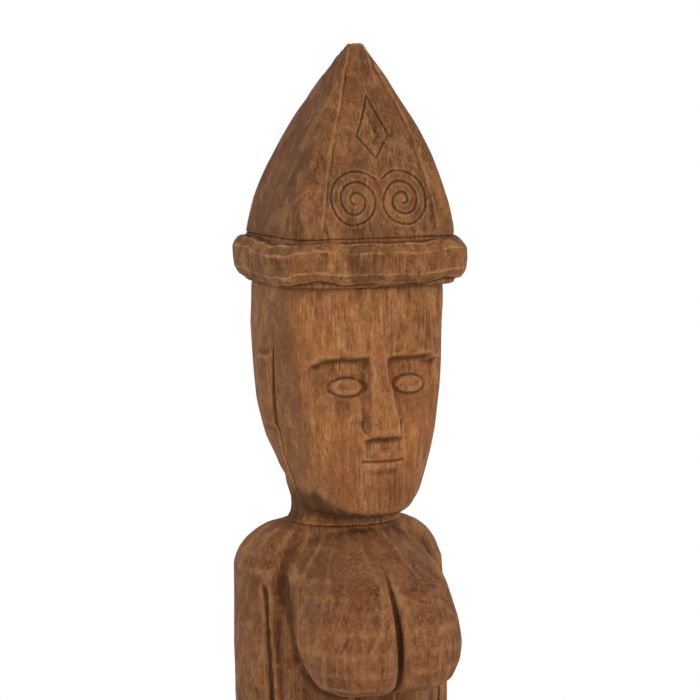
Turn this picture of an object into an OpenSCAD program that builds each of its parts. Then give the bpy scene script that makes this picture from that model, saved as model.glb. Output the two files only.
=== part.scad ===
// Standing ancestor figure, carved in wood, in a tall pointed hat with a rolled brim.
// Millimetres, +Z up. The figure faces -Y, and its left hand is on the +X side.
// The origin is the middle of the underside, on the floor.

/* [Plinth] */
// Side of the square plinth
plinth_side = 250; // [240:5:300]
// Height of the plinth
plinth_h = 55; // [40:5:90]
// Chamfer round the top of the plinth
plinth_chamfer = 6; // [2:1:12]
// Thickness of the felt sheet under the plinth
felt_t = 2; // [1:0.5:4]

/* [Body] */
// From the plinth to the hem of the skirt
leg_h = 205; // [180:5:240]
// From the hem to the waist of the skirt
skirt_h = 290; // [260:5:320]
// From the waist to the foot of the neck
torso_h = 250; // [230:5:280]
// Across the shoulders and arms
shoulder_w = 217; // [205:1:235]
// From the figure's axis to the front of the bust
bust_reach = 142; // [110:1:142]
// Width of the slot between the shins
leg_gap = 22; // [12:1:28]
// How far the figure's axis stands behind the middle of the plinth
set_back = 14; // [10:1:18]

/* [Head and hat] */
// From the foot of the neck to the brim
head_h = 244; // [220:2:270]
// Width of the head at the brow
head_w = 182; // [168:1:188]
// Thickness of the rolled brim
brim_t = 48; // [36:1:60]
// How far the brim stands out past the hat
brim_roll = 15; // [8:1:18]
// Width of the hat at the brim
hat_w = 182; // [170:1:192]
// Depth of the hat at the brim
hat_d = 158; // [148:1:166]
// From the brim to the tip of the hat
hat_h = 190; // [150:2:230]

/* [Joinery] */
// Diameter of the two dowels through the brim
hat_dowel_d = 20; // [12:1:24]
// Diameter of the two dowels in the neck
neck_dowel_d = 18; // [12:1:22]
// Shank diameter of the screws that come up through the plinth
screw_d = 8; // [6:1:10]
// Length of those screws under the head
screw_l = 100; // [80:5:120]
// Gap all round a dowel, for the glue
glue_gap = 0.05; // [0.05:0.05:0.2]

/* [Hidden] */

// Across the foot of the neck
neck_w = 118;

// Levels, from the floor up
z_foot = felt_t + plinth_h;
z_hem = z_foot + leg_h;
z_waist = z_hem + skirt_h;
z_neck = z_waist + torso_h;
z_brim = z_neck + head_h;
z_hat = z_brim + brim_t;

// Joinery
hat_dowel_x = 38;
hat_dowel_y = 2;
hat_dowel_up = 34;        // into the hat, past the brim
hat_dowel_down = 46;      // into the head
neck_dowel_x = 25;
neck_dowel_y = 12;
neck_dowel_half = 52;     // into the neck, and into the body
end_gap = 2;              // left at the blind end of a dowel's hole
dowel_chamfer = 2;
screw_x = 42;
screw_y = 12;
head_across = 13;         // hexagon of a screw head, across flats
head_t = 5.5;
washer_d = 24;
washer_t = 2;
recess_d = 27;            // for a socket spanner, in the plinth's underside
recess_h = 14;
felt_inset = 3;
plinth_corner = 5;

// Plan of the trunk: level, half width, half depth, middle's y, squareness
trunk = [
    [z_foot, 70, 74, -14, 3.2],                       // soles
    [z_foot + 16, 70, 72, -13, 2.9],                  // toes
    [z_foot + 34, 66, 56, 0, 2.6],                    // insteps
    [z_foot + 52, 61, 42, 9, 2.5],                    // ankles
    [z_foot + leg_h * 0.55, 67, 47, 12, 2.5],         // calves
    [z_hem - 3, 64, 44, 10, 2.5],                     // knees
    [z_hem, 96, 72, 8, 2.7],                          // hem of the skirt
    [z_hem + 8, 98, 75, 8, 2.7],
    [z_hem + skirt_h * 0.5, 99, 76, 10, 2.7],
    [z_waist - skirt_h * 0.25, 99, 75, 11, 2.7],      // hips
    [z_waist - 14, 95, 69, 9, 2.6],
    [z_waist, 92, 65, 8, 2.6],                        // waist
    [z_waist + torso_h * 0.3, 92, 65, 7, 2.6],        // belly
    [z_neck - 95, 97, 62, 12, 2.6],                   // ribs
    [z_neck - 50, 98, 58, 18, 2.5],                   // armpits
    [z_neck - 30, 96, 56, 19, 2.4],
    [z_neck - 18, 88, 54, 18, 2.3],                   // slope of the shoulders
    [z_neck - 8, 75, 52, 15, 2.2],
    [z_neck - 2, 64, 50, 13, 2.2],
    [z_neck, neck_w / 2, 50, 12, 2.2]                 // foot of the neck
];
// An arm: level, middle's x in from the shoulder's edge, half thickness, middle's y, half depth
arm = [
    [z_waist - 122, 16, 0.1, 0, 0.1],                 // fingertips
    [z_waist - 116, 14, 8, 0, 18],
    [z_waist - 65, 13, 13, 6, 30],                    // palm
    [z_waist - 25, 14, 16, 12, 27],                   // wrist
    [z_waist + 55, 16, 22, 15, 37],                   // elbow
    [z_neck - 110, 17, 22, 20, 42],
    [z_neck - 45, 21, 22, 26, 46],                    // shoulder
    [z_neck - 36, 24, 22, 28, 44],
    [z_neck - 28, 29, 24, 27, 43],
    [z_neck - 20, 35, 24, 25, 41],
    [z_neck - 12, 42, 23, 22, 37],
    [z_neck - 5, 50, 19, 18, 31],
    [z_neck - 1, 54, 12, 16, 20],
    [z_neck - 0.5, 56, 0.1, 16, 0.1]
];
// The bust: level, how far it stands out as a share of its fullest, what the cleft leaves of that,
// how its flank falls away (0.5 is round, more runs out softly into the chest), share of its width
bust = [
    [z_neck - 165, 0, 0.88, 0.5, 0.3],
    [z_neck - 162, 0.5, 0.88, 0.6, 0.56],
    [z_neck - 156, 0.76, 0.87, 0.7, 0.79],
    [z_neck - 147, 0.91, 0.86, 0.8, 1],
    [z_neck - 133, 0.98, 0.86, 0.9, 1.2],
    [z_neck - 112, 0.99, 0.86, 1, 1.42],
    [z_neck - 90, 0.93, 0.87, 1.4, 1.7],
    [z_neck - 65, 0.79, 0.9, 1.7, 2],
    [z_neck - 45, 0.6, 0.95, 1.1, 2.1],
    [z_neck - 34, 0.46, 1, 0.9, 2.1],
    [z_neck - 20, 0.27, 1, 0.8, 2.1],
    [z_neck - 5, 0, 1, 0.8, 2.1]
];
bust_turn = 18;           // each side's middle, in degrees from the front
bust_out = 34;            // from its middle round to its outer edge, in degrees
bust_core = 52;           // what it stands out from, measured from the trunk's middle

// Head and neck: level, how much the ring tips up to the back, middle's y, half width, half depth,
// squareness, how much narrower the front is, rings up to the next row
head_half = head_w / 2;
head_rings = [
    [z_neck, 0, 12, neck_w / 2, 50, 2.2, 0, 1],                      // foot of the neck
    [z_neck + 8, 0, 12, neck_w / 2 - 4, 47, 2.2, 0, 2],
    [z_neck + 20, 0.20, 12, neck_w / 2 - 4, 48, 2.2, 0, 2],          // throat
    [z_neck + 30, 0.30, 4, head_half - 30, 61, 2.3, 0.08, 3],        // under the jaw
    [z_neck + 42, 0.30, -8, head_half - 25, 74, 2.4, 0.20, 5],       // edge of the jaw
    [z_neck + 60, 0.26, -8, head_half - 16, 77, 2.6, 0.22, 7],
    [z_neck + 92, 0.16, -5, head_half - 6, 78, 2.9, 0.18, 10],       // cheeks
    [z_neck + head_h * 0.55, 0.08, -1, head_half - 1, 78, 3.3, 0.12, 12],
    [z_neck + head_h * 0.76, 0, 3, head_half, 77, 3.7, 0.07, 9],     // above the brow
    [z_brim - 6, 0, 4, head_half - 1, 75, 4, 0.06, 1],
    [z_brim, 0, 4, head_half - 2, 75, 4, 0.06, 0]
];

// A point of a squared oval
function oval_point(a, w, d, square) =
    let (c = cos(a), s = sin(a))
    [w * sign(c) * pow(abs(c), 2 / square), d * sign(s) * pow(abs(s), 2 / square)];

// How far a ray from the middle goes before it leaves a squared oval round that middle
function ray_oval(a, w, d, square) =
    pow(pow(abs(cos(a)) / w, square) + pow(abs(sin(a)) / d, square), -1 / square);

// The same for an ellipse about another point, or 0 where the ray misses it
function ray_ellipse(a, x, y, w, d) =
    let (c = cos(a), s = sin(a), p = pow(c / w, 2) + pow(s / d, 2),
         q = c * x / (w * w) + s * y / (d * d), r = pow(x / w, 2) + pow(y / d, 2) - 1,
         under = q * q - p * r)
    under < 0 ? 0 : (q + sqrt(under)) / p;

// The larger of two reaches, with the crease between them eased
function soft_max(a, b, ease = 9) = max(a, b) + pow(max(ease - abs(a - b), 0), 2) / (4 * ease);
// 0 below a, 1 above b, and a smooth climb between
function ramp(x, a, b) = let (t = min(max((x - a) / (b - a), 0), 1)) t * t * (3 - 2 * t);

function column(rows, k) = [for (row = rows) [row[0], row[k]]];
function value(rows, k, z) = lookup(z, column(rows, k));
function reaches(rows, z) = z > rows[0][0] && z < rows[len(rows) - 1][0];

// Smooth rows between the given ones, each a blend of its four neighbours
function blend(a, b, c, d, t) =
    b + (c - a) * t / 2 + (a - 2.5 * b + 2 * c - d / 2) * t * t + (1.5 * (b - c) + (d - a) / 2) * t * t * t;
// The last figure of each row says how many rings it takes up to the next
function smooth_rows(rows) =
    let (last = len(rows) - 1, n = len(rows[0]) - 1)
    [for (i = [0 : last - 1], k = [0 : rows[i][n] - 1])
        blend(rows[max(i - 1, 0)], rows[i], rows[i + 1], rows[min(i + 2, last)], k / rows[i][n]),
     rows[last]];

// The body's outline at one level: trunk, arms and bust, whichever stands out furthest
function body_reach(a, z) =
    let (mid = value(trunk, 3, z),
         arm_x = shoulder_w / 2 - value(arm, 1, z), arm_y = value(arm, 3, z) - mid,
         core = ray_oval(a, value(trunk, 1, z), value(trunk, 2, z), value(trunk, 4, z)),
         side = cos(a) < 0 ? -1 : 1,
         limb = reaches(arm, z)
             ? ray_ellipse(a, side * arm_x, arm_y, value(arm, 2, z), value(arm, 4, z)) : 0,
         off = abs(((a + 270) % 360) - 180),      // degrees from the front
         full = bust_core + (bust_reach + mid - bust_core) * value(bust, 1, z),
         middle = off < bust_turn, from = middle ? full * value(bust, 2, z) : bust_core,
         u = (off - bust_turn) / (middle ? bust_turn : bust_out * value(bust, 4, z)),
         swell = abs(u) <= 1 ? from + (full - from) * pow(1 - u * u, middle ? 0.4 : value(bust, 3, z)) : 0)
    soft_max(soft_max(core, limb), reaches(bust, z) ? swell : 0, 10);

// Stretches of the body and how many rings each takes
body_stretches = [
    [z_foot, z_foot + 52, 5], [z_foot + 60, z_hem - 3, 5], [z_hem, z_hem + 8, 1],
    [z_hem + 20, z_waist - 122, 5], [z_waist - 116, z_waist, 6], [z_waist + 14, z_neck - 172, 4],
    [z_neck - 165, z_neck - 147, 6], [z_neck - 140, z_neck - 60, 8], [z_neck - 50, z_neck, 10]
];
body_levels = [for (s = body_stretches, k = [0 : s[2]]) s[0] + (s[1] - s[0]) * k / s[2]];
// Angles round the body: close together at the cleft of the bust, wider apart behind
body_angles = concat([for (k = [0 : 11]) 258 + 2 * k], [for (k = [0 : 11]) 282 + 4 * k],
                     [for (k = [0 : 53]) 330 + 240 * k / 54], [for (k = [0 : 11]) 210 + 4 * k]);

// Skins a stack of rings that have the same number of points
module skin(rings) {
    n = len(rings[0]);
    points = [for (ring = rings) each ring];
    polyhedron(points, concat(
        [[for (i = [0 : n - 1]) i]],
        [for (k = [0 : len(rings) - 2], i = [0 : n - 1])
            each [[k * n + i, (k + 1) * n + i, (k + 1) * n + (i + 1) % n],
                  [k * n + i, (k + 1) * n + (i + 1) % n, k * n + (i + 1) % n]]],
        [[for (i = [n - 1 : -1 : 0]) (len(rings) - 1) * n + i]]));
}

module dowel(d, z0, z1) {
    translate([0, 0, z0]) rotate_extrude($fn = 64)
        polygon([[0, 0], [d / 2 - dowel_chamfer, 0], [d / 2, dowel_chamfer],
                 [d / 2, z1 - z0 - dowel_chamfer], [d / 2 - dowel_chamfer, z1 - z0], [0, z1 - z0]]);
}
module hole(d, z0, z1) {
    translate([0, 0, z0]) cylinder(d = d, h = z1 - z0, $fn = 64);
}
module at_hat_dowel(side) translate([side * hat_dowel_x, set_back + hat_dowel_y, 0]) children();
module at_neck_dowel(side) translate([side * neck_dowel_x, set_back + neck_dowel_y, 0]) children();
module at_screw(side) translate([side * screw_x, set_back + screw_y, 0]) children();

// The four-sided hat, its sides swelling near the brim
hat_tip = 0.07;           // width of the tip as a share of the base
hat_curve = 1.55;         // 1 is a straight side, more swells it near the brim
hat_lean = -14;           // how far the tip stands in front of the axis
hat_square = 6;
hat_sides = 48;
hat_steps = 16;
function hat_share(t) = 1 - (1 - hat_tip) * pow(t, hat_curve);

module hat_peak() color("#7b563e") difference() {
    skin([for (k = [0 : hat_steps])
        let (t = k / hat_steps)
        [for (i = [0 : hat_sides - 1])
            let (p = oval_point(i * 360 / hat_sides, hat_w / 2 * hat_share(t), hat_d / 2 * hat_share(t), hat_square))
            [p.x, set_back + p.y + hat_lean * t, z_hat + hat_h * t]]]);
    for (side = [-1, 1])
        at_hat_dowel(side) hole(hat_dowel_d + 2 * glue_gap, z_hat - 1, z_hat + hat_dowel_up + end_gap);
}

// The thick rolled band between head and hat
brim_square = 4.5;
brim_sides = 60;
brim_steps = 10;
module hat_brim() color("#855c3d") difference() {
    skin([for (k = [0 : brim_steps])
        let (a = 180 * k / brim_steps - 90, out = brim_roll * cos(a))
        [for (i = [0 : brim_sides - 1])
            let (p = oval_point(i * 360 / brim_sides, hat_w / 2 + out, hat_d / 2 + out, brim_square))
            [p.x, set_back + p.y, z_brim + brim_t / 2 * (1 + sin(a))]]]);
    for (side = [-1, 1])
        at_hat_dowel(side) hole(hat_dowel_d + 2 * glue_gap, z_brim - 1, z_hat + 1);
}

module hat_dowel(side)
    color("#b98f5e") at_hat_dowel(side) dowel(hat_dowel_d, z_brim - hat_dowel_down, z_hat + hat_dowel_up);

// Where the face's parts stand, from the brim down to the chin
face_h = head_h - 27;
brow_z = z_brim - face_h / 3;
eye_z = z_brim - face_h * 0.45;
nose_z = z_brim - face_h * 2 / 3;
mouth_z = z_brim - face_h * 0.79;
eye_x = 34;
// How far the face stands out at one point: sockets under the brow, nose, eyes and lips
function face_relief(x, z) =
    let (side = abs(x),
         under = brow_z + 6 - 8 * pow((side - 34) / 38, 2) - z,
         socket = -9 * ramp(under, 0, 6) * (1 - ramp(under, 8, 62)) * (1 - ramp(side, 60, 76)),
         down = (brow_z - z) / (brow_z - nose_z),
         nose_half = 7 + 9 * down,
         nose = (1 - ramp(side, nose_half, nose_half + 5)) * ramp(z, nose_z - 5, nose_z) * ramp(down, -0.15, 0.05),
         eye = norm([(side - eye_x) / 16, (z - eye_z) / 8.5]),
         mouth = norm([x / 27, (z - mouth_z) / 9]))
    socket * (1 - nose) + 13 * nose * down
        + 3.5 * (1 - ramp(eye, 0.8, 1.15))
        + 4.5 * (1 - ramp(mouth, 0.5, 1.1)) - 3 * (1 - ramp(abs(z - mouth_z), 0.5, 4)) * (1 - ramp(side, 20, 27));
// The same for an ear, a long strip down the side of the head
function ear_relief(y, z) =
    5 * ramp(y, -14, -10) * (1 - ramp(y, 14, 18)) * ramp(z, nose_z, nose_z + 4) * (1 - ramp(z, brow_z, brow_z + 4));

// Angles round the head: close together over the face, wider apart behind
head_angles = concat([for (k = [0 : 47]) 195 + 150 * k / 48], [for (k = [0 : 11]) 345 + 50 * k / 12],
                     [for (k = [0 : 13]) 35 + 110 * k / 14], [for (k = [0 : 11]) 145 + 50 * k / 12]);
function head_point(row, a) =
    let (r = ray_oval(a, row[3], row[4], row[5]), y = r * sin(a),
         x = r * cos(a) * (1 + row[6] * min(0, y / row[4])), z = row[0] + row[1] * y)
    [x + sign(x) * ear_relief(y, z), set_back + row[2] + y - ramp(-y / row[4], 0.35, 0.7) * face_relief(x, z), z];

module head() color("#91603d") difference() {
    skin([for (row = smooth_rows(head_rings)) [for (a = head_angles) head_point(row, a)]]);
    for (side = [-1, 1]) {
        at_hat_dowel(side) hole(hat_dowel_d + 2 * glue_gap, z_brim - hat_dowel_down - end_gap, z_brim + 1);
        at_neck_dowel(side) hole(neck_dowel_d + 2 * glue_gap, z_neck - 1, z_neck + neck_dowel_half + end_gap);
    }
}

module neck_dowel(side)
    color("#b98f5e") at_neck_dowel(side)
        dowel(neck_dowel_d, z_neck - neck_dowel_half, z_neck + neck_dowel_half);

// Torso, arms, skirt, legs and feet, all from one log
module body() color("#744a2e") difference() {
    translate([0, set_back, 0]) skin([for (z = body_levels)
        [for (angle = body_angles)
            let (a = angle % 360, r = body_reach(a, z))
            [r * cos(a), value(trunk, 3, z) + r * sin(a), z]]]);
    leg_slot();
    for (side = [-1, 1]) {
        at_neck_dowel(side) hole(neck_dowel_d + 2 * glue_gap, z_neck - neck_dowel_half - end_gap, z_neck + 1);
        at_screw(side) hole(screw_d + 2 * glue_gap, z_foot - 1, z_foot + screw_l - plinth_h + recess_h + end_gap);
    }
}
module leg_slot() {
    top = z_hem - leg_gap;
    translate([-leg_gap / 2, -plinth_side, z_foot - 1]) cube([leg_gap, 2 * plinth_side, top - z_foot + 1]);
    translate([0, -plinth_side, top]) rotate([-90, 0, 0]) cylinder(d = leg_gap, h = 2 * plinth_side, $fn = 48);
}

module plinth() color("#5d4632") difference() {
    side = plinth_side / 2;
    low = felt_t;
    skin([for (row = [[low, 0], [low + plinth_h - plinth_chamfer, 0], [low + plinth_h, plinth_chamfer]])
        [for (q = [0 : 3], e = [-1, 1])
            let (s = side - row[1], a = 45 + 90 * q, c = plinth_corner,
                 sx = sign(cos(a)), sy = sign(sin(a)), first = (e < 0) == (q % 2 == 0))
            [sx * (s - (first ? 0 : c)), sy * (s - (first ? c : 0)), row[0]]]]);
    for (side = [-1, 1]) at_screw(side) {
        hole(recess_d, low - 1, low + recess_h);
        hole(screw_d + 1, low, low + plinth_h + 1);
    }
}

module foot_washer(side) color("#9a9a96") at_screw(side) difference() {
    hole(washer_d, felt_t + recess_h - washer_t, felt_t + recess_h);
    hole(screw_d + 0.4, felt_t, felt_t + recess_h + 1);
}

// Hexagon head lag screw, its thread drawn as a plain shank with a conical point
module foot_screw(side) color("#8f8f8b") at_screw(side) {
    seat = felt_t + recess_h - washer_t;
    point = screw_d;
    translate([0, 0, seat - head_t]) cylinder(d = head_across / cos(30), h = head_t, $fn = 6);
    translate([0, 0, seat]) cylinder(d = screw_d, h = screw_l - point, $fn = 48);
    translate([0, 0, seat + screw_l - point]) cylinder(d1 = screw_d, d2 = 1, h = point, $fn = 48);
}

module base_felt() color("#26231f")
    translate([felt_inset - plinth_side / 2, felt_inset - plinth_side / 2, 0])
        cube([plinth_side - 2 * felt_inset, plinth_side - 2 * felt_inset, felt_t]);

hat_peak();
hat_brim();
hat_dowel(1);  // hat_dowel_left
hat_dowel(-1);  // hat_dowel_right
head();
neck_dowel(1);  // neck_dowel_left
neck_dowel(-1);  // neck_dowel_right
body();
plinth();
foot_screw(1);  // foot_screw_left
foot_screw(-1);  // foot_screw_right
foot_washer(1);  // foot_washer_left
foot_washer(-1);  // foot_washer_right
base_felt();
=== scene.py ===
import math
import bpy
import numpy as np
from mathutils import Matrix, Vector


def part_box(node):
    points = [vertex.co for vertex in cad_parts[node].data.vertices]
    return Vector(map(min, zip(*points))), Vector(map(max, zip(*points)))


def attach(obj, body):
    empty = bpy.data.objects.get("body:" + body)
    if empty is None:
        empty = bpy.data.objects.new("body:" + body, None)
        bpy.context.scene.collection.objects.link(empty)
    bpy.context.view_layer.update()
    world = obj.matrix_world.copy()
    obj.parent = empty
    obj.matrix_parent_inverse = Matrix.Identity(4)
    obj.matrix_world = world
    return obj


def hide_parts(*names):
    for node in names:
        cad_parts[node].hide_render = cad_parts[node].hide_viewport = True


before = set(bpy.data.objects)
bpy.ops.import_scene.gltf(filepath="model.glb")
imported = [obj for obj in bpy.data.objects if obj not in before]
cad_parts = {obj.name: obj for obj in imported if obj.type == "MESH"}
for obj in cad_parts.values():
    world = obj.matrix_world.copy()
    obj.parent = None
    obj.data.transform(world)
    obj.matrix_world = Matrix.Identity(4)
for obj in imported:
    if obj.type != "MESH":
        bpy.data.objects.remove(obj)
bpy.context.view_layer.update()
scene = bpy.context.scene
mm = 0.001


def levels():  # heights that the carving follows, in mm, read from the frame
    low = {name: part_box(name)[0].z / mm for name in ("body", "head", "hat_brim", "hat_peak")}
    return {"foot": low["body"], "neck": low["head"], "brim": low["hat_brim"], "hat": low["hat_peak"],
            "tip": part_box("hat_peak")[1].z / mm}


level = levels()
fastenings = {"hat": ("hat_dowel_left", "hat_dowel_right"),
              "neck": ("neck_dowel_left", "neck_dowel_right"),
              "foot": ("foot_washer_left", "foot_washer_right")}
axisY = (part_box("hat_brim")[0].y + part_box("hat_brim")[1].y) / 2 / mm  # the figure's axis, front to back


def ramp(x, a, b):  # 0 below a, 1 above b, smooth between
    t = np.clip((x - a) / (b - a), 0, 1)
    return t * t * (3 - 2 * t)


def between(z, low, lowFull, highFull, high):  # 1 from lowFull up to highFull, 0 outside low and high
    return ramp(z, low, lowFull) * (1 - ramp(z, highFull, high))


def chance(x, y, z, salt):  # the same number from 0 to 1 each time for the same whole numbers
    n = (x * 73856093) ^ (y * 19349663) ^ (z * 83492791) ^ (salt * 265443576)
    n = (n ^ (n >> 13)) * 1274126177
    n = n ^ (n >> 16)
    return (n & 0xFFFFFF) / 16777216.0


def wander(points, size, salt):  # smooth noise from -1 to 1, size is how far apart its lumps are
    scaled = points / np.array(size, float)
    base = np.floor(scaled).astype(np.int64)
    part = scaled - base
    part = part * part * (3 - 2 * part)
    total = np.zeros(len(points))
    for corner in range(8):
        step = [corner & 1, corner >> 1 & 1, corner >> 2 & 1]
        weight = np.ones(len(points))
        for k in range(3):
            weight *= part[:, k] if step[k] else 1 - part[:, k]
        at = base + np.array(step)
        total += weight * chance(at[:, 0], at[:, 1], at[:, 2], salt)
    return total * 2 - 1


def scoops(around, up, count, salt):  # 0 in the middle of a gouge cut, about 1 on the ridges between cuts
    baseA = np.floor(around).astype(np.int64)
    baseU = np.floor(up).astype(np.int64)
    best = np.full(len(around), 9.0)
    for da in (-1, 0, 1):
        for du in (-1, 0, 1):
            cellA, cellU = baseA + da, baseU + du
            same = cellA % count
            midA = cellA + 0.5 + 0.42 * (2 * chance(same, cellU, 0, salt) - 1)
            midU = cellU + 0.5 + 0.42 * (2 * chance(same, cellU, 1, salt) - 1)
            best = np.minimum(best, (around - midA) ** 2 + (up - midU) ** 2)
    return np.clip(best / 0.42, 0, 1.3)


def gouged(points, middle, count, tall, salt):  # gouge cuts wrapped round an upright axis
    angle = np.arctan2(points[:, 0] - middle[0], middle[1] - points[:, 1])
    around = (angle / (2 * math.pi) + 0.5) * count
    drift = wander(points, (60, 60, 60), salt + 7) * 0.35
    return scoops(around + drift, points[:, 2] / tall + drift, count, salt)


def pathDistance(x, z, path):  # to the nearest stretch of a line drawn on a flat face
    best = np.full(len(x), 1e6)
    for (ax, az), (bx, bz) in zip(path, path[1:]):
        dx, dz = bx - ax, bz - az
        t = np.clip(((x - ax) * dx + (z - az) * dz) / (dx * dx + dz * dz), 0, 1)
        best = np.minimum(best, np.hypot(x - ax - t * dx, z - az - t * dz))
    return best


def groove(distance, half):  # 1 on the line, 0 from half away
    return 1 - ramp(distance, 0, half)


class Skin:  # one piece's mesh as arrays in mm, put back into Blender when it has been carved
    def __init__(self, node, voxel, rounds):
        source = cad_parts[node]
        self.piece = bpy.data.objects.new("carved_" + node, source.data.copy())
        scene.collection.objects.link(self.piece)
        remesh = self.piece.modifiers.new("even", "REMESH")
        remesh.mode = "VOXEL"
        remesh.voxel_size = voxel * mm
        remesh.adaptivity = 0
        graph = bpy.context.evaluated_depsgraph_get()
        mesh = bpy.data.meshes.new_from_object(self.piece.evaluated_get(graph))
        self.piece.modifiers.clear()
        self.piece.data = mesh
        count = len(mesh.vertices)
        flat = np.zeros(count * 3, np.float32)
        mesh.vertices.foreach_get("co", flat)
        self.points = flat.reshape(-1, 3).astype(float) / mm
        pairs = np.zeros(len(mesh.edges) * 2, np.int32)
        mesh.edges.foreach_get("vertices", pairs)
        self.pairs = pairs.reshape(-1, 2)
        self.links = np.bincount(pairs, minlength=count)
        self.points = self.spread(self.points, rounds)
        self.free = np.ones(count)
        self.paintedShade = np.zeros(count)  # painted shade that a piece gets besides its hollows, seams and undersides

    def spread(self, values, rounds):  # evens values out over neighbours
        columns = values if values.ndim == 2 else values[:, None]
        a, b = self.pairs[:, 0], self.pairs[:, 1]
        count = len(columns)
        for _ in range(rounds):
            total = [np.bincount(a, columns[b, k], count) + np.bincount(b, columns[a, k], count)
                     for k in range(columns.shape[1])]
            columns = columns * 0.4 + 0.6 * np.stack(total, 1) / self.links[:, None]
        return columns if values.ndim == 2 else columns[:, 0]

    def normals(self):
        self.write()
        flat = np.zeros(len(self.points) * 3, np.float32)
        self.piece.data.vertex_normals.foreach_get("vector", flat)
        return flat.reshape(-1, 3).astype(float)

    def write(self):
        self.piece.data.vertices.foreach_set("co", (self.points * mm).astype(np.float32).ravel())
        self.piece.data.update()

    def keep(self, nodes, room):  # nothing is carved round the bores that these dowels or washers fill
        for node in nodes:
            low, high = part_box(node)
            x, y = round((low.x + high.x) / 2 / mm, 2), round((low.y + high.y) / 2 / mm, 2)
            radius = round((high.x - low.x) / 2 / mm, 2)
            away = np.hypot(self.points[:, 0] - x, self.points[:, 1] - y) - radius
            self.free *= ramp(away, room, room + 2)

    def push(self, amount, normals):
        self.points = self.points + normals * (amount * self.free)[:, None]

    def label(self, name, values):
        layer = self.piece.data.attributes.new(name, "FLOAT", "POINT")
        layer.data.foreach_set("value", values.astype(np.float32))

    def finish(self, node, slotName, look):
        self.write()
        normals = self.normals()
        wide = self.points - self.spread(self.points, 14)
        fine = self.points - self.spread(self.points, 3)
        wideBend = self.spread((wide * normals).sum(1), 1)
        fineBend = (fine * normals).sum(1)
        seam = np.zeros(len(self.points))  # cut edges that meet the next piece aren't worn
        for height in (level["neck"], level["brim"], level["hat"]):
            seam = np.maximum(seam, groove(np.abs(self.points[:, 2] - height), 7))
        self.label("ridge", np.clip(wideBend * 1.1 + fineBend * 3, 0, 1.2) * (1 - seam))
        # painted shade: faces that look down, the seams between pieces, hollows and creases, and each
        # piece's extra shade are darkened
        under = 0.3 * ramp(-normals[:, 2], 0.1, 0.7)
        shadeSum = seam * 0.3 + under + self.paintedShade
        self.label("hollowShade", np.clip(shadeSum - wideBend * 1.1 - fineBend * 3, 0, 1.2))
        # facing says how far each face turns to the front; it drives the painted side shade
        self.label("facing", np.clip(-normals[:, 1], -1, 1))
        self.piece.data.materials.clear()
        self.piece.data.materials.append(look)
        self.piece.data.shade_smooth()
        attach(self.piece, "root")
        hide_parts(node)
        print(node, "has", len(self.piece.data.polygons), "faces")
        return self.piece


class Wire:  # a socket whose sums add nodes
    def __init__(self, board, socket):
        self.board, self.socket = board, socket

    def sum(self, operation, first, second):
        return self.board.node("ShaderNodeMath", {"operation": operation}, {0: first, 1: second})

    def __add__(self, other):
        return self.sum("ADD", self, other)

    def __radd__(self, other):
        return self.sum("ADD", other, self)

    def __sub__(self, other):
        return self.sum("SUBTRACT", self, other)

    def __rsub__(self, other):
        return self.sum("SUBTRACT", other, self)

    def __mul__(self, other):
        return self.sum("MULTIPLY", self, other)

    def __rmul__(self, other):
        return self.sum("MULTIPLY", other, self)

    def clamp(self):
        return self.board.node("ShaderNodeClamp", {}, {0: self})

    def between(self, low, high):  # 0 at low, 1 at high
        return self.board.node("ShaderNodeMapRange", {"interpolation_type": "SMOOTHSTEP"},
                               {0: self, 1: low, 2: high})


class Board:  # the nodes of one material, or of the world
    def __init__(self, name, world=None):
        self.owner = world or bpy.data.materials.new(name)
        self.owner.use_nodes = True
        self.tree = self.owner.node_tree

    def node(self, kind, settings, sockets, output=0):
        made = self.tree.nodes.new(kind)
        for name, value in settings.items():
            setattr(made, name, value)
        for name, value in sockets.items():
            self.feed(made.inputs[name], value)
        return Wire(self, made.outputs[output])

    def feed(self, socket, value):
        if isinstance(value, Wire):
            self.tree.links.new(value.socket, socket)
        else:
            socket.default_value = value

    def mix(self, factor, first, second):  # colours
        return self.node("ShaderNodeMix", {"data_type": "RGBA"}, {0: factor, 6: first, 7: second}, 2)

    def stretched(self, place, scale):
        return self.node("ShaderNodeVectorMath", {"operation": "MULTIPLY"}, {0: place, 1: scale})

    def noise(self, place, scale, detail=3, rough=0.55, warp=0.0):
        return self.node("ShaderNodeTexNoise", {"noise_dimensions": "3D"},
                         {"Vector": self.stretched(place, scale), "Scale": 1.0, "Detail": detail,
                          "Roughness": rough, "Distortion": warp})

    def place(self):
        return self.node("ShaderNodeTexCoord", {}, {}, "Object")

    def spot(self, name):
        return self.node("ShaderNodeAttribute", {"attribute_name": name}, {}, "Fac")

    def bump(self, height, strength, distance):
        sockets = {"Strength": strength, "Distance": distance, "Height": height}
        return self.node("ShaderNodeBump", {}, sockets)

    def finish(self, **sockets):
        shader = self.tree.nodes["Principled BSDF"]
        for name, value in sockets.items():
            self.feed(shader.inputs[name.replace("_", " ")], value)
        return self.owner


def rgb(red, green, blue):  # sRGB 0 to 255 into a linear colour
    def linear(c):
        c /= 255
        return c / 12.92 if c <= 0.04045 else ((c + 0.055) / 1.055) ** 2.4
    return (linear(red), linear(green), linear(blue), 1)


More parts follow.
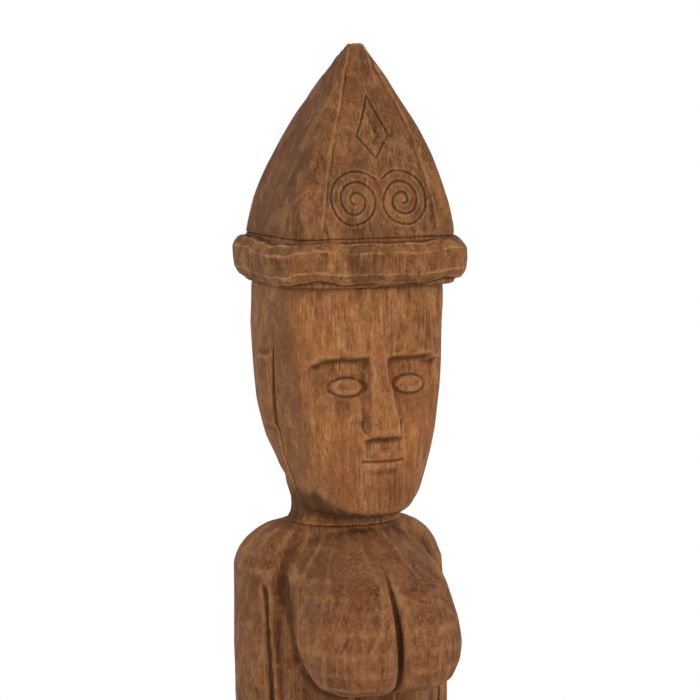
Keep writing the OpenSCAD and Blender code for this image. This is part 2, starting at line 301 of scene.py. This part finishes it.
def carvedWood(name, tone):  # old hardwood rubbed pale on the ridges, with painted shade in the cuts, under overhangs, at the seams and on the side faces
    board = Board(name)
    place = board.place()
    shift = board.noise(place, (14, 14, 9), 2)
    grain = board.noise(place, (360, 360, 17), 4, 0.6, 0.5)
    fine = board.noise(place, (1000, 1000, 75), 3, 0.65)
    pore = board.noise(place, (1700, 1700, 120), 2, 0.5).between(0.58, 0.70)
    check = board.noise(place, (420, 420, 24), 2, 0.5, 0.4).between(0.715, 0.75)
    patch = board.noise(place, (30, 30, 13), 4, 0.6, 0.9).between(0.40, 0.62)
    mottle = board.noise(place, (120, 120, 48), 4, 0.65, 0.5).between(0.36, 0.66)
    stain = board.noise(place, (24, 24, 15), 5, 0.68, 1.2).between(0.52, 0.68)
    cloud = board.noise(place, (48, 48, 30), 4, 0.6, 0.6).between(0.38, 0.64)
    tide = board.noise(place, (21, 21, 12), 3, 0.6, 1.4).between(0.34, 0.66)
    blot = board.noise(place, (62, 62, 40), 5, 0.7, 0.8).between(0.42, 0.60)
    fleck = board.noise(place, (240, 240, 130), 3, 0.6).between(0.58, 0.70)
    flake = board.noise(place, (95, 95, 60), 4, 0.72, 1.2).between(0.545, 0.60)
    grit = board.noise(place, (620, 620, 330), 2, 0.6).between(0.42, 0.62)
    ridge, hollowShade = board.spot("ridge"), board.spot("hollowShade")
    # painted shade: faces turned away from the front are mixed towards each tone's greyer side colour
    side = 1 - board.spot("facing").between(0.42, 0.70)
    streak = (grain * 0.56 + fine * 0.32 + shift * 0.12 + mottle * 0.10 - 0.05).between(0.36, 0.66)
    colour = board.mix(streak, tone["dark"], tone["light"])
    colour = board.mix(patch * tone["patch"], colour, tone["warm"])
    colour = board.mix(side * tone["sideShade"], colour, tone["sideShadeColour"])
    colour = board.mix(cloud * (1 - mottle * 0.6) * 0.24, colour, tone["dark"])
    colour = board.mix(stain * (0.7 + mottle * 0.3) * tone["stain"], colour, tone["deep"])
    colour = board.mix(tide * tone["uneven"], colour, tone["dark"])
    colour = board.mix(blot * (1 - tide) * tone["uneven"] * 0.9, colour, tone["pale"])
    colour = board.mix(fleck * 0.28, colour, tone["pale"])
    colour = board.mix(flake * (1 - side * 0.6) * 0.26, colour, tone["flake"])
    colour = board.mix(grit * 0.26, colour, tone["dark"])
    worn = (ridge.between(0.12, 1.0) * tone["wear"] * (0.25 + cloud * 0.5 + streak * 0.4)).clamp()
    colour = board.mix(worn, colour, tone["pale"])
    # painted shade in hollows, creases, seams and under overhangs
    colour = board.mix((hollowShade.between(0.05, 1.0) * tone["paintedShade"]).clamp(), colour, tone["deep"])
    colour = board.mix((pore * 0.38 + check * 0.8).clamp(), colour, tone["deep"])
    height = grain * 0.45 + fine * 0.4 - pore * 0.35 - check * 0.8 + mottle * 0.35 - grit * 0.3
    relief = board.bump(height, tone["relief"], 0.0011)
    return board.finish(Base_Color=colour, Roughness=0.66 - worn * 0.14 + hollowShade * 0.1 + fine * 0.1,
                        Normal=relief, IOR=1.4, Specular_IOR_Level=0.22)


def plainWood(name, dark, light, scale, rough):  # planed or turned wood
    board = Board(name)
    place = board.place()
    grain = board.noise(place, scale, 4, 0.6, 0.7)
    fine = board.noise(place, tuple(4 * s for s in scale), 3)
    colour = board.mix((grain * 0.7 + fine * 0.4).between(0.3, 0.8), dark, light)
    relief = board.bump(fine, 0.35, 0.0004)
    return board.finish(Base_Color=colour, Roughness=rough + fine * 0.12, Normal=relief)


def zincSteel(name):
    board = Board(name)
    place = board.place()
    spangle = board.noise(place, (420, 420, 420), 3)
    colour = board.mix(spangle, (0.40, 0.40, 0.39, 1), (0.56, 0.55, 0.52, 1))
    return board.finish(Base_Color=colour, Metallic=1.0, Roughness=0.3 + spangle * 0.18)


def pressedFelt(name):
    board = Board(name)
    place = board.place()
    fibre = board.noise(place, (1300, 700, 900), 5, 0.7, 1.5)
    colour = board.mix(fibre, (0.016, 0.015, 0.014, 1), (0.06, 0.055, 0.05, 1))
    return board.finish(Base_Color=colour, Roughness=0.95, Normal=board.bump(fibre, 0.8, 0.0008))


# What the carved pieces share, and what each piece has of its own
# each tone's side colour and its amount paint shade on the faces turned away from the front
woodTone = {"pale": rgb(190, 136, 86), "flake": rgb(178, 108, 60), "deep": rgb(46, 25, 12), "paintedShade": 0.6,
            "wear": 0.6, "relief": 0.7, "patch": 0.5, "stain": 0.3, "sideShade": 0.4, "uneven": 0.34}
hatTone = dict(woodTone, dark=rgb(88, 54, 29), light=rgb(158, 105, 64), warm=rgb(142, 86, 48),
               sideShadeColour=rgb(106, 72, 47), sideShade=0.6, stain=0.4, uneven=0.4)
brimTone = dict(woodTone, dark=rgb(88, 52, 28), light=rgb(166, 112, 66), warm=rgb(152, 94, 50),
                sideShadeColour=rgb(100, 68, 44), wear=0.95, stain=0.5, uneven=0.42, sideShade=0.6)
headTone = dict(woodTone, dark=rgb(106, 62, 32), light=rgb(196, 134, 82), warm=rgb(184, 114, 62),
                sideShadeColour=rgb(122, 86, 60), sideShade=0.62, stain=0.26, uneven=0.4)
bodyTone = dict(woodTone, dark=rgb(82, 46, 25), light=rgb(158, 102, 62), warm=rgb(142, 82, 45),
                sideShadeColour=rgb(146, 102, 68), sideShade=0.38, stain=0.34, wear=0.42)

# Sizes in these dictionaries are in mm. voxel is the mesh's own grid, even is how often it is smoothed, and
# room is what stays plain round a bore
hat = {"voxel": 1.15, "even": 2, "room": 1.5, "cuts": 22, "cutTall": 44, "cutDeep": 0.8, "lumps": 0.7,
       "border": 60, "panelDeep": 1.9, "line": 2.3, "lineDeep": 1.5, "waver": 0.9,
       "spiral": 30, "turns": 2.6, "steps": 22, "spiralX": 25, "spiralUp": 37,
       "lozengeUp": 100, "lozengeHalf": 17, "lozengeHigh": 38, "lozengeLow": 21, "inner": 0.36,
       "tipShare": 0.07, "curve": 1.55}


def spiralPath(side):  # both spirals start at the top, near the middle of the panel
    steps = int(hat["turns"] * hat["steps"])
    path = []
    for k in range(steps + 1):
        angle = math.radians(90 + side * 45) - side * k * math.tau / hat["steps"]
        r = hat["spiral"] * (1 - 0.9 * k / steps)
        path.append((side * hat["spiralX"] + r * math.cos(angle), hat["spiralUp"] + r * math.sin(angle)))
    return path


def lozenge(size):
    half, mid = hat["lozengeHalf"] * size, hat["lozengeUp"]
    top, foot = (0, mid + hat["lozengeHigh"] * size), (0, mid - hat["lozengeLow"] * size)
    return [top, (half, mid), foot, (-half, mid), top]


def hatCuts(x, up):  # how deep the panel and its lines are cut into the hat's front, in mm
    tall = level["tip"] - level["hat"]
    share = 1 - (1 - hat["tipShare"]) * np.clip(up / tall, 0, 1) ** hat["curve"]
    edge = np.abs(x) - hat["border"] * share
    onPanel = ramp(up, 3, 9) * (1 - ramp(up, tall * 0.86, tall * 0.92))
    lines = groove(np.abs(edge), hat["line"] * 1.25)
    lines = np.maximum(lines, groove(pathDistance(x, up, lozenge(1)), hat["line"]))
    lines = np.maximum(lines, groove(pathDistance(x, up, lozenge(hat["inner"])), hat["line"] * 2) * 0.8)
    for side in (-1, 1):
        lines = np.maximum(lines, groove(pathDistance(x, up, spiralPath(side)), hat["line"]))
    return onPanel * (lines * hat["lineDeep"] + hat["panelDeep"] * (1 - ramp(edge, -3, 1)))


def makeHat():
    skin = Skin("hat_peak", hat["voxel"], hat["even"])
    skin.keep(fastenings["hat"], hat["room"])
    normals = skin.normals()
    skin.free *= ramp(skin.points[:, 2], level["hat"] + 0.5, level["hat"] + 3)
    p = skin.points
    cut = gouged(p, (0, axisY), hat["cuts"], hat["cutTall"], 3)
    skin.push(hat["cutDeep"] * (cut - 0.6) + hat["lumps"] * wander(p, (26, 26, 40), 5), normals)
    front = ramp(-normals[:, 1], 0.55, 0.75)
    waver = hat["waver"] * wander(p, (17, 17, 17), 8)  # a hand-cut line isn't quite true
    uneven = 0.75 + 0.35 * wander(p, (23, 23, 23), 9)
    skin.push(-front * hatCuts(p[:, 0] + waver, p[:, 2] - level["hat"] - waver) * uneven, normals)
    return skin.finish("hat_peak", "hat_wood", carvedWood("hat wood", hatTone))


brim = {"voxel": 1.25, "even": 2, "room": 1.5, "cuts": 22, "cutTall": 90, "cutDeep": 1.2,
        "heights": (-1, -0.8, -0.42, 0.42, 0.8, 1), "reach": (1, 8.5, 14.6, 15.4, 10.5, 1), "roll": 15,
        "hewn": 0.75, "waver": (0.15, 0.08), "lumps": (1.3, 0.5),
        "grooveOut": 2.5, "grooveHalf": 6, "grooveDeep": 3.0, "square": 6}


def hatFoot():  # half the hat's width and depth where it stands on the brim, in mm
    low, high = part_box("hat_peak")
    return round((high.x - low.x) / 2 / mm, 2), round(high.y / mm - axisY, 2)


def makeBrim():
    skin = Skin("hat_brim", brim["voxel"], brim["even"])
    skin.keep(fastenings["hat"], brim["room"])
    normals = skin.normals()
    p = skin.points
    tall = level["hat"] - level["brim"]
    up = (p[:, 2] - level["brim"]) / tall * 2 - 1
    flank = 1 - ramp(np.abs(normals[:, 2]), 0.93, 0.99)
    broad, small = brim["waver"]
    hewn = up + broad * wander(p, (36, 36, 400), 14) + small * wander(p, (14, 14, 400), 15)
    rolled = brim["roll"] * np.sqrt(np.clip(1 - up * up, 0, 1))
    change = np.interp(hewn, brim["heights"], brim["reach"]) - rolled
    cut = gouged(p, (0, axisY), brim["cuts"], brim["cutTall"], 11)
    broad, small = brim["lumps"]
    lumps = broad * wander(p, (30, 30, 26), 12) + small * wander(p, (11, 11, 9), 13)
    rough = brim["cutDeep"] * (cut - 0.6) + lumps
    skin.push(flank * (brim["hewn"] * change + rough * (1 - np.abs(up) ** 6)), normals)
    power = brim["square"]
    footX, footY = hatFoot()
    across, along = np.abs(p[:, 0] / footX) ** power, np.abs((p[:, 1] - axisY) / footY) ** power
    outside = ((across + along) ** (1 / power) - 1) * footX  # how far past the foot of the hat
    near = ramp(outside, -1, 1) * ramp(normals[:, 2], -0.1, 0.3)  # the groove round the foot of the hat
    skin.free = (p[:, 2] > level["hat"] - 16) * 1.0
    cut = groove(np.abs(outside - brim["grooveOut"]), brim["grooveHalf"])
    skin.push(-brim["grooveDeep"] * cut * near, normals)
    return skin.finish("hat_brim", "brim_wood", carvedWood("brim wood", brimTone))


head = {"voxel": 1.4, "even": 4, "room": 1.5, "cuts": 30, "cutTall": 46, "cutDeep": 0.9, "lumps": 0.8,
        "chin": 27,
        "eyeX": 34, "eyeHalf": 16, "eyeTall": 8.5, "nostrilX": 12, "nostrilUp": 9, "lipsDeep": 1.3,
        "earFront": 16, "earDeep": 2.4, "neckShade": 1.0}


def makeHead():
    skin = Skin("head", head["voxel"], head["even"])
    skin.keep(fastenings["hat"] + fastenings["neck"], head["room"])
    normals = skin.normals()
    p = skin.points
    tall = level["brim"] - level["neck"]
    faceTall = tall - head["chin"]
    eyeZ, noseZ = level["brim"] - 0.45 * faceTall, level["brim"] - faceTall * 2 / 3
    mouthZ = level["brim"] - 0.79 * faceTall
    low, high = level["neck"], level["brim"]
    skin.free *= between(p[:, 2], low + 0.5, low + 5, high - 1.5, high - 0.2)
    front = ramp(-normals[:, 1], 0.3, 0.6)
    calm = 1 - 0.65 * front * (1 - ramp(p[:, 2], level["brim"] - 70, level["brim"] - 50))
    cut = gouged(p, (0, axisY), head["cuts"], head["cutTall"], 21)
    lumps = head["lumps"] * wander(p, (30, 30, 50), 22)
    skin.push(calm * head["cutDeep"] * (cut - 0.6) + lumps, normals)
    side, z = np.abs(p[:, 0]), p[:, 2]
    eye = np.hypot((side - head["eyeX"]) / head["eyeHalf"], (z - eyeZ) / head["eyeTall"])
    ring = groove(np.abs(eye - 1.12), 0.26) * 1.1
    lips = groove(np.abs(z - mouthZ), 2.2) * (1 - ramp(side, 19, 25)) * head["lipsDeep"]
    nostril = np.hypot(side - head["nostrilX"], (z - noseZ - head["nostrilUp"]) * 0.8)
    wing = groove(np.abs(nostril - head["nostrilUp"]), 2) * ramp(side, 14, 17) * (z < noseZ + 14)
    skin.push(-front * (ring + lips + wing), normals)
    beside = ramp(np.abs(normals[:, 0]), 0.45, 0.7)
    earFront = np.abs(p[:, 1] - (axisY - head["earFront"] - (level["brim"] - 72 - z) * 0.02))
    onEar = between(z, level["neck"] + 38, level["neck"] + 60, level["brim"] - 66, level["brim"] - 60)
    skin.push(-head["earDeep"] * beside * onEar * groove(earFront, 2.6), normals)
    # painted shade on the neck below the chin, less on its front
    onNeck = 1 - ramp(z, level["neck"] + 26, level["neck"] + 48)
    skin.paintedShade = head["neckShade"] * onNeck * (1 - 0.7 * front)
    return skin.finish("head", "head_wood", carvedWood("head wood", headTone))


body = {"voxel": 2.3, "even": 2, "room": 2, "cuts": 27, "cutTall": 50, "cutDeep": 1.1, "lumps": 1.1,
        "hem": 205, "waist": 495, "skirtHalf": 86, "skirtDeep": 2.0,
        "armpit": 62, "armGap": 99, "armIn": 0.045, "armDeep": 3.6, "backGap": 78, "backDeep": 4.0,
        "cleftHalf": 3.6, "cleftDeep": 3.5, "finger": 9.0, "toe": 11.0, "toeFirst": 12, "digitDeep": 2.2}


def digits(place, wide):  # 1 on the lines between fingers or toes that are this wide
    return 1 - ramp(np.abs((place / wide) % 1 - 0.5), 0, 0.16)


def makeBody():
    skin = Skin("body", body["voxel"], body["even"])
    skin.keep(fastenings["neck"], body["room"])
    neckZ, footZ = level["neck"], level["foot"]
    hemZ, waistZ, armZ = footZ + body["hem"], footZ + body["waist"], neckZ - body["armpit"]
    skin.free = np.maximum(skin.free, (skin.points[:, 2] < neckZ - 60) * 1.0)
    skin.free *= between(skin.points[:, 2], footZ + 1, footZ + 5, neckZ - 4, neckZ - 0.5)
    normals = skin.normals()
    p = skin.points
    x, y, z = p[:, 0], p[:, 1], p[:, 2]
    inBody = ramp(z, hemZ, hemZ + 14)
    cut = gouged(p, (0, axisY + 14), body["cuts"], body["cutTall"], 31)
    scooped = body["cutDeep"] * (cut - 0.62) * (0.45 + 0.55 * inBody)
    skin.push(scooped + body["lumps"] * wander(p, (42, 42, 60), 32), normals)
    front, back = ramp(-normals[:, 1], 0.0, 0.35), ramp(normals[:, 1], 0.1, 0.5)
    onArm = between(z, waistZ - 120, waistZ - 90, armZ - 6, armZ + 8)
    gap = np.abs(np.abs(x) - (body["armGap"] - body["armIn"] * (armZ - z)))
    gap = gap + 1.1 * wander(p, (26, 26, 26), 34)
    skin.push(-body["armDeep"] * front * onArm * groove(gap, 3.4), normals)
    skin.push(-body["backDeep"] * back * onArm * groove(np.abs(np.abs(x) - body["backGap"]), 6), normals)
    inCleft = between(z, neckZ - 145, neckZ - 120, neckZ - 75, neckZ - 40) * (y < axisY - 30)
    skin.push(-body["cleftDeep"] * front * inCleft * groove(np.abs(x), body["cleftHalf"]), normals)
    skirt = sum(groove(np.abs(z - at), 4) for at in (waistZ - 4, waistZ - 22, hemZ + 16))
    skin.push(-body["skirtDeep"] * skirt * (np.abs(x) < body["skirtHalf"]), normals)
    beside = ramp(np.abs(normals[:, 0]), 0.5, 0.8)
    inHand = between(z, waistZ - 116, waistZ - 110, waistZ - 81, waistZ - 75) * (np.abs(x) > 92)
    skin.push(-body["digitDeep"] * beside * inHand * digits(y - axisY + 14, body["finger"]), normals)
    inFoot = (z < footZ + 20) * ramp(axisY - 50 - y, 0, 12)
    skin.push(-body["digitDeep"] * inFoot * digits(np.abs(x) - body["toeFirst"], body["toe"]), normals)
    return skin.finish("body", "body_wood", carvedWood("body wood", bodyTone))


plinth = {"voxel": 2.2, "even": 1, "chip": 0.7, "room": 4}
plinthTone = dict(woodTone, dark=rgb(66, 42, 26), light=rgb(104, 72, 48), warm=rgb(92, 60, 36),
                  sideShadeColour=rgb(86, 62, 44), pale=rgb(128, 92, 62), wear=0.4, relief=0.4)


def makePlinth():
    skin = Skin("plinth", plinth["voxel"], plinth["even"])
    skin.keep(fastenings["foot"], plinth["room"])
    normals = skin.normals()
    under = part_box("plinth")[0].z / mm
    skin.free *= ramp(skin.points[:, 2], under + 0.5, under + 3)
    skin.free *= 1 - ramp(skin.points[:, 2], level["foot"] - 1.5, level["foot"] - 0.3)
    skin.push(plinth["chip"] * (wander(skin.points, (30, 30, 30), 41) - 0.6), normals)
    return skin.finish("plinth", "plinth_wood", carvedWood("plinth wood", plinthTone))


def dressNodes():
    dowel = plainWood("dowel wood", rgb(172, 128, 82), rgb(208, 168, 118), (160, 160, 9), 0.5)
    steel, felt = zincSteel("zinc plate"), pressedFelt("pressed felt")
    looks = {"dowel": (dowel, "dowel_wood"), "screw": (steel, "screw_steel"),
             "washer": (steel, "washer_steel"), "felt": (felt, "felt")}
    for name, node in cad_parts.items():
        for word, (look, slotName) in looks.items():
            if word in name:
                node.data.materials.clear()
                node.data.materials.append(look)
    print("dowels, screws, washers and felt are dressed")


stage = {"floor": 1.4, "floorTone": 0.8, "world": 0.72, "aimUp": 0.95, "key": (19, 1.1, (0.75, -2.0, 1.9)),
         "fill": (11, 1.2, (-2.2, -0.6, 1.3)), "turn": -24, "away": 2.4, "eye": 1.27, "look": 0.977,
         "aside": -0.0045, "wide": 16.6}


def makeStage():
    scene.world = bpy.data.worlds.new("studio")
    sky = Board("studio", scene.world)
    lit = sky.node("ShaderNodeBackground", {}, {"Color": (1, 1, 1, 1), "Strength": stage["world"]})
    seen = sky.node("ShaderNodeBackground", {}, {"Color": (1, 1, 1, 1), "Strength": 1.0})
    straight = sky.node("ShaderNodeLightPath", {}, {}, "Is Camera Ray")
    both = sky.node("ShaderNodeMixShader", {}, {0: straight, 1: lit, 2: seen})
    sky.feed(sky.tree.nodes["World Output"].inputs["Surface"], both)
    bpy.ops.mesh.primitive_circle_add(vertices=128, radius=stage["floor"], fill_type="NGON")
    floor = bpy.context.object
    floor.name = "studio_floor"
    tone = stage["floorTone"]
    matt = Board("studio floor").finish(Base_Color=(tone, tone, tone, 1), Roughness=tone)
    floor.data.materials.append(matt)
    addLight("key", *stage["key"])
    addLight("fill", *stage["fill"])


def addLight(name, watts, size, place):
    light = bpy.data.lights.new(name, "AREA")
    light.energy = watts
    light.size = size
    lamp = bpy.data.objects.new(name, light)
    lamp.location = place
    toward = Vector((0, 0, stage["aimUp"])) - Vector(place)
    lamp.rotation_euler = toward.to_track_quat("-Z", "Y").to_euler()
    scene.collection.objects.link(lamp)


def makeCamera():
    turn = math.radians(stage["turn"])
    right = Vector((math.cos(turn), math.sin(turn), 0))
    back = Vector((math.sin(turn), -math.cos(turn), 0))
    camera = bpy.data.objects.new("camera", bpy.data.cameras.new("camera"))
    camera.data.angle = math.radians(stage["wide"])
    camera.location = back * stage["away"] + Vector((0, 0, stage["eye"]))
    aim = right * stage["aside"] + Vector((0, 0, stage["look"]))
    camera.rotation_euler = (aim - camera.location).to_track_quat("-Z", "Y").to_euler()
    scene.collection.objects.link(camera)
    scene.camera = camera


makeHat()
makeBrim()
makeHead()
makeBody()
makePlinth()
dressNodes()
makeStage()
makeCamera()
scene.view_settings.view_transform = "Standard"
print("stage, lights and camera are set")
